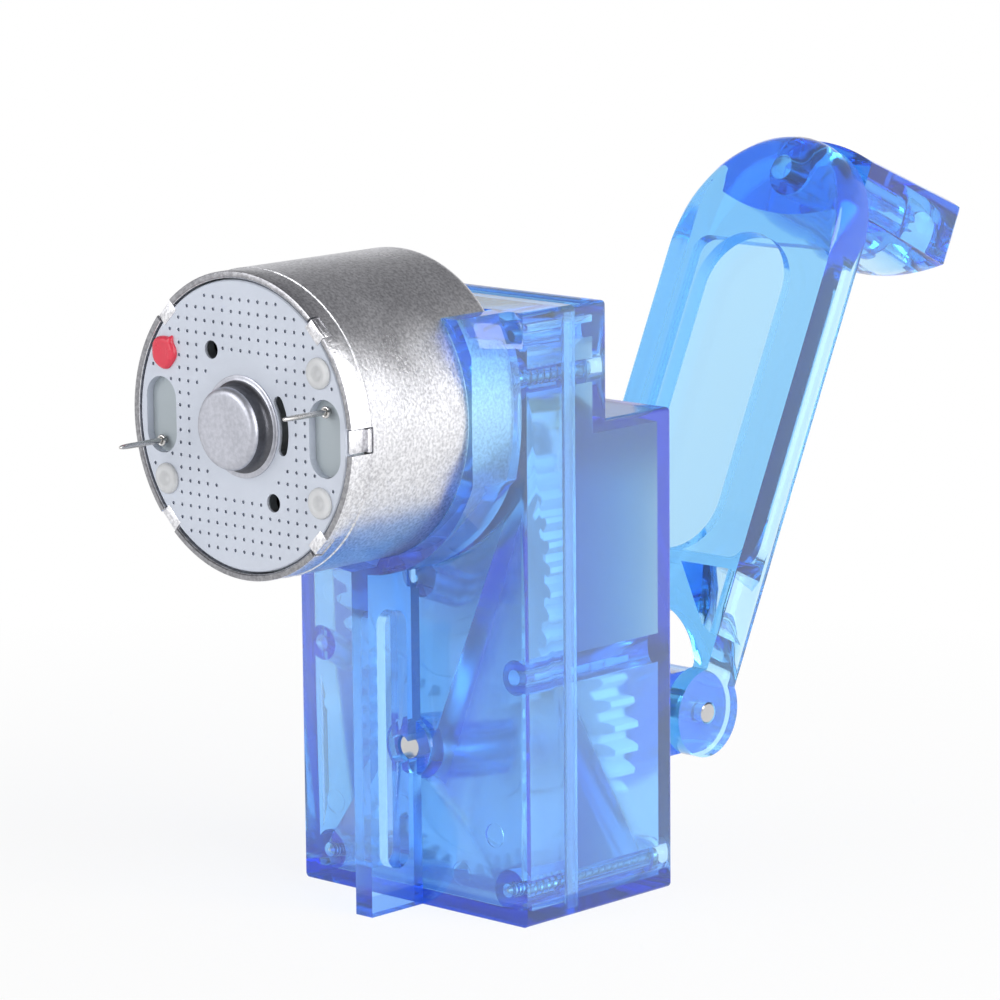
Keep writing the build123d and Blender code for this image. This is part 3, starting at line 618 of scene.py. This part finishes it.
def pitTree(p):
    # a grid of small conical pits, cut from the plate
    tree = bpy.data.node_groups.new("platePits", "GeometryNodeTree")
    face = tree.interface
    face.new_socket("Geometry", in_out="INPUT", socket_type="NodeSocketGeometry")
    sockets = {}
    for name, value in (("Pitch", p["pitch"] * mm), ("Pit Radius", p["pitRadius"] * mm),
                        ("Pit Depth", p["pitDeep"] * mm), ("Reach", p["pitReach"] * mm),
                        ("Clear", p["pitClear"] * mm)):
        socket = face.new_socket(name, in_out="INPUT", socket_type="NodeSocketFloat")
        socket.default_value = value
        sockets[name] = socket.identifier
    face.new_socket("Geometry", in_out="OUTPUT", socket_type="NodeSocketGeometry")
    nodesIn = tree.nodes
    link = tree.links.new
    start = nodesIn.new("NodeGroupInput")
    end = nodesIn.new("NodeGroupOutput")

    def calc(operation, a, b=None):
        return mathNode(tree, operation, a, b)

    count = p["pitCount"]
    grid = nodesIn.new("GeometryNodeMeshGrid")
    side = calc("MULTIPLY", start.outputs["Pitch"], count - 1)
    link(side, grid.inputs["Size X"])
    link(side, grid.inputs["Size Y"])
    grid.inputs["Vertices X"].default_value = count
    grid.inputs["Vertices Y"].default_value = count
    points = nodesIn.new("GeometryNodeMeshToPoints")
    link(grid.outputs["Mesh"], points.inputs["Mesh"])
    place = nodesIn.new("GeometryNodeInputPosition")
    parts = nodesIn.new("ShaderNodeSeparateXYZ")
    link(place.outputs["Position"], parts.inputs["Vector"])
    x, z = parts.outputs["X"], parts.outputs["Y"]
    away = calc("SQRT", calc("ADD", calc("MULTIPLY", x, x), calc("MULTIPLY", z, z)))
    drop = calc("ADD", calc("GREATER_THAN", away, start.outputs["Reach"]),
                calc("LESS_THAN", away, start.outputs["Clear"]))
    # nothing in the slots, round the holes or under the stakes
    keepOut = [(side * p["slotX"], 0, p["slotWide"] / 2 + 0.45, p["slotTall"] / 2 + 0.45)
               for side in (-1, 1)]
    keepOut += [(hx, hz, p["holeRadius"] + 0.55, p["holeRadius"] + 0.55) for hx, hz in p["holes"]]
    keepOut += [(sx, sz, 2.0, 2.0) for sx, sz in stakes["places"]]
    for cx, cz, wide, tall in keepOut:
        dx = calc("DIVIDE", calc("SUBTRACT", x, cx * mm), wide * mm)
        dz = calc("DIVIDE", calc("SUBTRACT", z, cz * mm), tall * mm)
        size = calc("ADD", calc("MULTIPLY", dx, dx), calc("MULTIPLY", dz, dz))
        drop = calc("ADD", drop, calc("LESS_THAN", size, 1.0))
    remove = nodesIn.new("GeometryNodeDeleteGeometry")
    remove.domain = "POINT"
    link(points.outputs["Points"], remove.inputs["Geometry"])
    link(drop, remove.inputs["Selection"])
    cone = nodesIn.new("GeometryNodeMeshCone")
    cone.inputs["Vertices"].default_value = 10
    link(calc("MULTIPLY", start.outputs["Pit Radius"], 0.35), cone.inputs["Radius Top"])
    link(calc("MULTIPLY", start.outputs["Pit Radius"], 1.65), cone.inputs["Radius Bottom"])
    link(calc("MULTIPLY", start.outputs["Pit Depth"], 2.0), cone.inputs["Depth"])
    lower = nodesIn.new("GeometryNodeTransform")
    shift = nodesIn.new("ShaderNodeCombineXYZ")
    link(calc("MULTIPLY", start.outputs["Pit Depth"], -1.0), shift.inputs["Z"])
    link(cone.outputs["Mesh"], lower.inputs["Geometry"])
    link(shift.outputs["Vector"], lower.inputs["Translation"])
    copies = nodesIn.new("GeometryNodeInstanceOnPoints")
    link(remove.outputs["Geometry"], copies.inputs["Points"])
    link(lower.outputs["Geometry"], copies.inputs["Instance"])
    real = nodesIn.new("GeometryNodeRealizeInstances")
    link(copies.outputs["Instances"], real.inputs["Geometry"])
    # the grid lies in XY: stand it on the plate's front
    stand = nodesIn.new("GeometryNodeTransform")
    stand.inputs["Rotation"].default_value = (math.radians(90), 0, 0)
    stand.inputs["Translation"].default_value = (0, p["front"] * mm, axisM * mm)
    link(real.outputs["Geometry"], stand.inputs["Geometry"])
    cut = nodesIn.new("GeometryNodeMeshBoolean")
    cut.operation = "DIFFERENCE"
    cut.solver = "EXACT"
    link(start.outputs["Geometry"], cut.inputs["Mesh 1"])
    link(stand.outputs["Geometry"], cut.inputs["Mesh 2"])
    paint = nodesIn.new("GeometryNodeSetMaterial")
    paint.inputs["Material"].default_value = platedSteel
    link(cut.outputs["Mesh"], paint.inputs["Geometry"])
    link(paint.outputs["Geometry"], end.inputs["Geometry"])
    return tree, sockets


stakes = {
    "places": [(11.2, 6.6), (11.2, -6.6), (-11.2, -6.6), (-11.2, 6.6)],
    "hole": 1.2, "radius": 1.62, "height": 0.5, "dimple": 0.72, "painted": (1.5, 0.4),
}


def roundCutter(radius, y0, y1, steps, centre=(0.0, axisM)):
    return lathe("hole", [(y0, 0), (y0, radius), (y1, radius), (y1, 0)], steps, centre=centre)


def smallOpenings(y0, y1, grow=0.0):
    # the curved slot and the two round holes, through the plate and the holder behind it
    p = endPlate
    inner, outer, start, stop = p["curvedSlot"]
    radius = p["holeRadius"] + grow
    cuts = [prismMesh(bentSlot(inner - grow, outer + grow, start, stop), y0, y1)]
    for x, z in p["holes"]:
        cuts.append(roundCutter(radius, y0, y1, 40, (x, axisM + z)))
    return cuts


def makeEndPlate(p):
    disc = flatDisc(p["radius"], p["front"], p["back"], 0.12, 160)
    y0, y1 = p["cut"]
    cuts = [prismMesh(roundedSlot(side * p["slotX"], axisM, p["slotWide"], p["slotTall"]), y0, y1)
            for side in (-1, 1)]
    cuts += smallOpenings(y0, y1)
    for x, z in stakes["places"]:
        cuts.append(roundCutter(stakes["hole"], y0, y1, 24, (x, axisM + z)))
    cuts.append(roundCutter(p["bore"], y0, y1, 64))
    plate = combine(disc, [joinMeshes("cuts", cuts)])
    piece = looseObject(plate)
    tree, sockets = pitTree(p)
    pits = piece.modifiers.new("pits", "NODES")
    pits.node_group = tree
    pits[sockets["Pitch"]] = p["pitch"] * mm
    mesh = bakeModifiers(piece)
    # the openings widen behind, as the metal is thin at their edge
    mesh = combine(mesh, [joinMeshes("deep", smallOpenings(p["front"] + p["edgeThick"], y1, p["edgeStep"]))])
    mesh.shade_flat()
    return mesh


def makeBoss(p):
    # drawn up from the plate round the end bearing, with a soft foot
    r, front, face = p["bossRadius"], p["bossFront"], p["front"]
    profile = [(front + 0.03, 0), (front + 0.03, r * 0.55), (front, r * 0.7), (front, r - p["bossRound"])]
    profile += arcPoints(front + p["bossRound"], r - p["bossRound"], p["bossRound"], 180, 90, 8)[1:]
    foot = face - 0.18
    profile += [(foot - p["skirt"], r)]
    for i in range(1, 8):
        angle = math.radians(90 * i / 7)
        profile.append((foot - p["skirt"] * (1 - math.sin(angle)), r + p["skirt"] * (1 - math.cos(angle))))
    profile += [(foot, p["ring"] - 0.12), (foot + 0.06, p["ring"]), (face + 0.15, p["ring"]),
                (face + 0.15, r - 0.88), (front + 0.27, r - 0.88), (front + 0.27, 0)]
    mesh = lathe("motor_end_boss", profile, 128)
    smoothByAngle(mesh, 35)
    return mesh


addPiece("motor_end_plate_pitted", makeEndPlate(endPlate), platedSteel, "housing",
         ["motor_end_plate"])
addPiece("motor_end_boss", makeBoss(endPlate), bossSteel, "housing")
print("end plate made")


# brush holder, stakes, paint mark

holder = {"front": -23.4, "back": -21.9, "radius": 15.12, "bore": 3.4, "clearance": 1.1}


def stakeMesh(x, z, radius, height, dimple, steps=40):
    top = endPlate["front"] - height
    face = endPlate["front"]
    profile = [(top + 0.5, 0), (top + 0.42, dimple * 0.6), (top + 0.1, dimple), (top, dimple + 0.2),
               (top, radius - 0.45), (top + 0.09, radius - 0.2), (top + 0.26, radius - 0.03),
               (face - 0.08, radius), (face + 0.02, radius - 0.02), (face + 0.02, stakes["hole"] - 0.02),
               (holder["front"] + 0.1, stakes["hole"] - 0.02), (holder["front"] + 0.1, 0)]
    return lathe("stake", profile, steps, centre=(x, axisM + z))


def makeHolder():
    p = holder
    front, back, radius = p["front"], p["back"], p["radius"]
    disc = lathe("holder", [(front, p["bore"]), (front, radius - 0.1), (front + 0.1, radius), (back, radius),
                            (back, p["bore"])], 120, closed=True)
    disc = combine(disc, [joinMeshes("cuts", smallOpenings(front - 1, back + 1, p["clearance"]))])
    smoothByAngle(disc, 35)
    return disc


def makeStakes():
    # the fourth, under the paint, is smaller
    meshes = [stakeMesh(x, z, stakes["radius"], stakes["height"], stakes["dimple"])
              for x, z in stakes["places"][:3]]
    meshes.append(stakeMesh(*stakes["places"][3], *stakes["painted"], stakes["dimple"]))
    mesh = joinMeshes("stakes", meshes)
    smoothByAngle(mesh, 50)
    return mesh


paintMark = {
    "rings": [(0.0, 0.44), (0.5, 0.45), (0.9, 0.51), (1.3, 0.52), (1.52, 0.44), (1.65, 0.22), (1.69, -0.02)],
    "steps": 56, "spur": 0.5, "spurAngle": 0.95, "spurWide": 0.14,
}


def makePaintMark(p):
    # a drop of marking paint over the upper left stake, with a small run
    x, z = stakes["places"][3]
    bm = bmesh.new()
    steps, edge = p["steps"], p["rings"][-1][0]
    rows = []
    for radius, rise in p["rings"]:
        row = []
        for i in range(steps):
            turn = 2 * math.pi * i / steps
            uneven = 1 + 0.035 * math.sin(3 * turn + 0.8) + 0.025 * math.sin(5 * turn + 2.1)
            spur = math.exp(-((turn - p["spurAngle"]) / p["spurWide"]) ** 2)
            spur *= p["spur"] * (radius / edge) ** 6
            r = radius * uneven + spur
            row.append(bm.verts.new(((x + r * math.cos(turn)) * mm, (endPlate["front"] - rise) * mm,
                                     (axisM + z + r * 1.03 * math.sin(turn)) * mm)))
        rows.append(row)
    for a, b in zip(rows, rows[1:]):
        for i in range(steps):
            j = (i + 1) % steps
            bm.faces.new((a[i], a[j], b[j], b[i]))
    bm.faces.new(rows[-1])
    bmesh.ops.remove_doubles(bm, verts=bm.verts, dist=0.001 * mm)
    bmesh.ops.recalc_face_normals(bm, faces=bm.faces)
    mesh = bpy.data.meshes.new("paint_mark")
    bm.to_mesh(mesh)
    bm.free()
    smoothByAngle(mesh, 60)
    return mesh


addPiece("brush_holder_disc", makeHolder(), holderPlasticShaded, "housing", ["brush_holder"])
addPiece("brush_holder_stakes", makeStakes(), stakePlastic, "housing")
addPiece("paint_mark", makePaintMark(paintMark), redPaint, "housing")
print("brush holder made")


# terminal wires

terminals = {
    "places": [(-12.3, -2.8), (11.8, 2.7)], "radius": 0.29, "tip": -29.9, "root": -23.0,
    "loop": 0.5, "loopY": -23.95,
}


def wireMesh(points, radius, tipScale=0.55):
    curve = bpy.data.curves.new("wire", "CURVE")
    curve.dimensions = "3D"
    curve.bevel_depth = radius * mm
    curve.bevel_resolution = 5
    curve.use_fill_caps = True
    line = curve.splines.new("NURBS")
    line.points.add(len(points) - 1)
    for i, point in enumerate(points):
        line.points[i].co = (*[c * mm for c in point], 1)
        line.points[i].radius = 1.0
    line.points[0].radius = tipScale
    line.order_u = 3
    line.use_endpoint_u = True
    line.resolution_u = 8
    piece = looseObject(curve)
    graph = bpy.context.evaluated_depsgraph_get()
    mesh = bpy.data.meshes.new_from_object(piece.evaluated_get(graph))
    bpy.data.objects.remove(piece)
    return mesh


def makeTerminals(p):
    meshes = []
    for x, z in p["places"]:
        straight = [(x, p["tip"], axisM + z), (x, p["tip"] + 0.4, axisM + z), (x, -27.0, axisM + z),
                    (x, -25.0, axisM + z), (x, -23.3, axisM + z), (x, p["root"] + 1.0, axisM + z)]
        meshes.append(wireMesh(straight, p["radius"]))
        ring = []
        for i in range(10):
            turn = 2 * math.pi * i / 9 * 0.93 + 0.6
            ring.append((x + p["loop"] * math.cos(turn), p["loopY"] - 0.1 * i / 9,
                         axisM + z + p["loop"] * math.sin(turn)))
        meshes.append(wireMesh(ring, p["radius"] * 0.6, 1.0))
    mesh = joinMeshes("terminal_wires", meshes)
    smoothByAngle(mesh, 60)
    return mesh


addPiece("terminal_wires", makeTerminals(terminals), tinnedWire, "housing",
         ["terminal_pins"])
print("terminals made")


# case screws, threaded

caseScrews = {
    "core": 0.60, "threadReach": 0.25, "pitch": 1.0, "tip": 0.9, "front": 1.75,
    "head": 1.65, "headTall": 1.2, "recess": 0.18,
    "pairs": [("case_screws_long", 13.2, 3.5, 20.8), ("case_screws_short", 13.2, 57.9, 10.6)],
}


def screwTree():
    # shank with a rolled thread and a blunt point, copied to each seat; it points towards -Y
    tree = bpy.data.node_groups.new("threadedShank", "GeometryNodeTree")
    face = tree.interface
    face.new_socket("Geometry", in_out="INPUT", socket_type="NodeSocketGeometry")
    sockets = {}
    for name in ("Length", "Core", "Thread", "Pitch", "Tip"):
        socket = face.new_socket(name, in_out="INPUT", socket_type="NodeSocketFloat")
        sockets[name] = socket.identifier
    face.new_socket("Geometry", in_out="OUTPUT", socket_type="NodeSocketGeometry")
    add = tree.nodes.new
    link = tree.links.new
    start, end = add("NodeGroupInput"), add("NodeGroupOutput")
    length, core = start.outputs["Length"], start.outputs["Core"]
    spiral = add("GeometryNodeCurveSpiral")
    spiral.inputs["Resolution"].default_value = 20
    link(mathNode(tree, "DIVIDE", length, start.outputs["Pitch"]), spiral.inputs["Rotations"])
    link(core, spiral.inputs["Start Radius"])
    link(core, spiral.inputs["End Radius"])
    link(length, spiral.inputs["Height"])
    ridge = add("GeometryNodeCurvePrimitiveCircle")
    ridge.inputs["Resolution"].default_value = 4
    link(start.outputs["Thread"], ridge.inputs["Radius"])
    thread = add("GeometryNodeCurveToMesh")
    link(spiral.outputs["Curve"], thread.inputs["Curve"])
    link(ridge.outputs["Curve"], thread.inputs["Profile Curve"])
    thread.inputs["Fill Caps"].default_value = True
    shank = add("GeometryNodeMeshCylinder")
    shank.inputs["Vertices"].default_value = 28
    link(core, shank.inputs["Radius"])
    link(length, shank.inputs["Depth"])
    raised = add("GeometryNodeTransform")
    half = add("ShaderNodeCombineXYZ")
    link(mathNode(tree, "MULTIPLY", length, 0.5), half.inputs["Z"])
    link(shank.outputs["Mesh"], raised.inputs["Geometry"])
    link(half.outputs["Vector"], raised.inputs["Translation"])
    point = add("GeometryNodeMeshCone")
    point.inputs["Vertices"].default_value = 28
    link(mathNode(tree, "MULTIPLY", core, 0.3), point.inputs["Radius Top"])
    link(core, point.inputs["Radius Bottom"])
    link(start.outputs["Tip"], point.inputs["Depth"])
    ahead = add("GeometryNodeTransform")
    far = add("ShaderNodeCombineXYZ")
    link(length, far.inputs["Z"])
    link(point.outputs["Mesh"], ahead.inputs["Geometry"])
    link(far.outputs["Vector"], ahead.inputs["Translation"])
    join = add("GeometryNodeJoinGeometry")
    for part in (thread.outputs["Mesh"], raised.outputs["Geometry"], ahead.outputs["Geometry"]):
        link(part, join.inputs["Geometry"])
    lay = add("GeometryNodeTransform")
    lay.inputs["Rotation"].default_value = (math.radians(90), 0, 0)
    link(join.outputs["Geometry"], lay.inputs["Geometry"])
    copies = add("GeometryNodeInstanceOnPoints")
    link(start.outputs["Geometry"], copies.inputs["Points"])
    link(lay.outputs["Geometry"], copies.inputs["Instance"])
    real = add("GeometryNodeRealizeInstances")
    link(copies.outputs["Instances"], real.inputs["Geometry"])
    paint = add("GeometryNodeSetMaterial")
    paint.inputs["Material"].default_value = screwSteel
    link(real.outputs["Geometry"], paint.inputs["Geometry"])
    link(paint.outputs["Geometry"], end.inputs["Geometry"])
    return tree, sockets


def screwHead(p, x, z, seat):
    top, r = seat + p["headTall"], p["head"]
    profile = [(seat, 0), (seat, r - 0.08), (seat + 0.08, r), (seat + 0.55, r)]
    profile += [(y, rr) for y, rr in arcPoints(seat + 0.55, r - 0.65, 0.65, 90, 0, 7)][1:] + [(top, 0)]
    head = lathe("head", profile, 48, centre=(x, z))
    half, deep = p["recess"], 0.95
    cross = [boxMesh(x - deep, x + deep, top - 0.7, top + 0.5, z - half, z + half),
             boxMesh(x - half, x + half, top - 0.7, top + 0.5, z - deep, z + deep)]
    return combine(head, cross)


def makeCaseScrews(p, tree, sockets, x, z, seat):
    seats = bpy.data.meshes.new("seats")
    seats.from_pydata([(side * x * mm, (seat + 0.05) * mm, z * mm) for side in (-1, 1)], [], [])
    piece = looseObject(seats)
    shanks = piece.modifiers.new("shanks", "NODES")
    shanks.node_group = tree
    for name, value in (("Length", seat + 0.05 - p["front"]), ("Core", p["core"]),
                        ("Thread", p["threadReach"]), ("Pitch", p["pitch"]), ("Tip", p["tip"])):
        shanks[sockets[name]] = value * mm
    mesh = bakeModifiers(piece)
    mesh = joinMeshes("screws", [mesh] + [screwHead(p, side * x, z, seat) for side in (-1, 1)])
    smoothByAngle(mesh, 35)
    return mesh


shankTree, shankSockets = screwTree()
for name, x, z, seat in caseScrews["pairs"]:
    mesh = makeCaseScrews(caseScrews, shankTree, shankSockets, x, z, seat)
    addPiece(name + "_threaded", mesh, screwSteel, "housing", [name])
print("screws made")


# finishes of the CAD nodes that stay

nodeFinish = {
    "motor_screws": screwSteel, "middle_axle": axleSteel, "motor_shaft": shaftSteel,
    "crank_shaft": shaftSteel, "hinge_pin": shaftSteel, "thrust_washer": shaftSteel,
    "crank_gear": whiteNylon, "step_gear_1": whiteNylon, "step_gear_2": whiteNylon,
    "step_gear_3": whiteNylon, "motor_pinion": brushMetal, "motor_magnets": darkFerrite,
    "motor_brushes": brushMetal, "end_bush": bronze, "shaft_bush": bronze,
    "armature_core": lamination, "armature_windings": copper, "commutator": copper,
    "rotor_spacers": stakePlastic,
}
for name, material in nodeFinish.items():
    nodes[name].data.materials.clear()
    nodes[name].data.materials.append(material)
print("finishes set")


# stage, light, camera

stageSetup = {"floorSize": 6.0, "floorColour": 0.86, "white": 1.0, "glow": 0.94, "glowRise": 1.0}


def makeFloor(p):
    bm = bmesh.new()
    bmesh.ops.create_grid(bm, x_segments=1, y_segments=1, size=p["floorSize"] / 2)
    mesh = bpy.data.meshes.new("floor")
    bm.to_mesh(mesh)
    bm.free()
    floor = looseObject(mesh, "floor")
    material = bpy.data.materials.new("floor_white")
    material.use_nodes = True
    tree = material.node_tree
    shader = tree.nodes["Principled BSDF"]
    shader.inputs["Base Color"].default_value = (p["floorColour"],) * 3 + (1,)
    shader.inputs["Roughness"].default_value = 0.9
    glow = tree.nodes.new("ShaderNodeEmission")
    glow.inputs["Strength"].default_value = p["white"]
    path = tree.nodes.new("ShaderNodeLightPath")
    seen = mathNode(tree, "MAXIMUM", path.outputs["Is Camera Ray"], path.outputs["Is Transmission Ray"])
    seen = mathNode(tree, "MAXIMUM", seen, path.outputs["Is Glossy Ray"])
    mix = tree.nodes.new("ShaderNodeMixShader")
    # whiter away from the object, so that only its own shadow shows there
    where = tree.nodes.new("ShaderNodeTexCoord")
    reach = tree.nodes.new("ShaderNodeVectorMath")
    reach.operation = "LENGTH"
    tree.links.new(where.outputs["Object"], reach.inputs[0])
    glowing = mathNode(tree, "MULTIPLY", reach.outputs["Value"], p["glowRise"])
    glowing = mathNode(tree, "MINIMUM", mathNode(tree, "ADD", glowing, p["glow"] - 0.1), 1.0)
    tree.links.new(mathNode(tree, "MULTIPLY", seen, glowing), mix.inputs["Fac"])
    tree.links.new(shader.outputs["BSDF"], mix.inputs[1])
    tree.links.new(glow.outputs["Emission"], mix.inputs[2])
    tree.links.new(mix.outputs["Shader"], tree.nodes["Material Output"].inputs["Surface"])
    mesh.materials.append(material)


def makeWorld():
    world = bpy.data.worlds.new("studio")
    world.use_nodes = True
    tree = world.node_tree
    back = tree.nodes["Background"]
    where = tree.nodes.new("ShaderNodeTexCoord")
    parts = tree.nodes.new("ShaderNodeSeparateXYZ")
    tree.links.new(where.outputs["Generated"], parts.inputs["Vector"])
    ramp = tree.nodes.new("ShaderNodeValToRGB")
    stops = ramp.color_ramp.elements
    stops[0].position, stops[0].color = 0.0, (0.88, 0.88, 0.89, 1)
    stops[1].position, stops[1].color = 0.9, (0.12, 0.12, 0.13, 1)
    for place, level in ((0.2, 0.85), (0.42, 0.32)):
        stop = stops.new(place)
        stop.color = (level, level, level * 1.02, 1)
    tree.links.new(parts.outputs["Z"], ramp.inputs["Fac"])
    path = tree.nodes.new("ShaderNodeLightPath")
    seen = mathNode(tree, "MAXIMUM", path.outputs["Is Camera Ray"], path.outputs["Is Transmission Ray"])
    mix = tree.nodes.new("ShaderNodeMix")
    mix.data_type = "RGBA"
    mix.inputs["B"].default_value = (1, 1, 1, 1)
    tree.links.new(seen, mix.inputs["Factor"])
    tree.links.new(ramp.outputs["Color"], mix.inputs["A"])
    tree.links.new(mix.outputs["Result"], back.inputs["Color"])
    back.inputs["Strength"].default_value = 1.0
    scene.world = world


def areaLamp(name, place, target, size, power, colour=(1, 1, 1)):
    data = bpy.data.lights.new(name, "AREA")
    data.shape = "RECTANGLE"
    data.size, data.size_y = size
    data.energy = power
    data.color = colour
    lamp = bpy.data.objects.new(name, data)
    lamp.location = place
    lamp.rotation_mode = "QUATERNION"
    lamp.rotation_quaternion = (Vector(target) - Vector(place)).to_track_quat("-Z", "Y")
    scene.collection.objects.link(lamp)


view = {
    "target": (0.0, 8.0, 36.0), "azimuth": 43.61, "elevation": 11.12, "roll": -0.61,
    "distance": 535.47, "lens": 180.24, "shift": (0.0374, 0.0614),
}


def makeCamera(p):
    a, e, r = (math.radians(p[k]) for k in ("azimuth", "elevation", "roll"))
    back = Vector((math.sin(a) * math.cos(e), -math.cos(a) * math.cos(e), math.sin(e)))
    right = Vector((math.cos(a), math.sin(a), 0))
    up = back.cross(right)
    turnedRight = math.cos(r) * right + math.sin(r) * up
    turnedUp = -math.sin(r) * right + math.cos(r) * up
    data = bpy.data.cameras.new("camera")
    data.lens = p["lens"]
    data.shift_x, data.shift_y = p["shift"]
    data.clip_start, data.clip_end = 0.05, 20.0
    camera = bpy.data.objects.new("camera", data)
    turn = Matrix((turnedRight, turnedUp, back)).transposed().to_4x4()
    camera.matrix_world = Matrix.Translation((Vector(p["target"]) + back * p["distance"]) * mm) @ turn
    scene.collection.objects.link(camera)
    scene.camera = camera


makeFloor(stageSetup)
makeWorld()
areaLamp("softbox_right", (0.55, 0.05, 0.25), (0, 0, 0.04), (0.5, 0.6), 5.2)
areaLamp("softbox_front", (-0.25, -0.6, 0.3), (0, 0, 0.04), (0.5, 0.4), 2.2)
makeCamera(view)
scene.view_settings.view_transform = "Standard"
print("stage set")
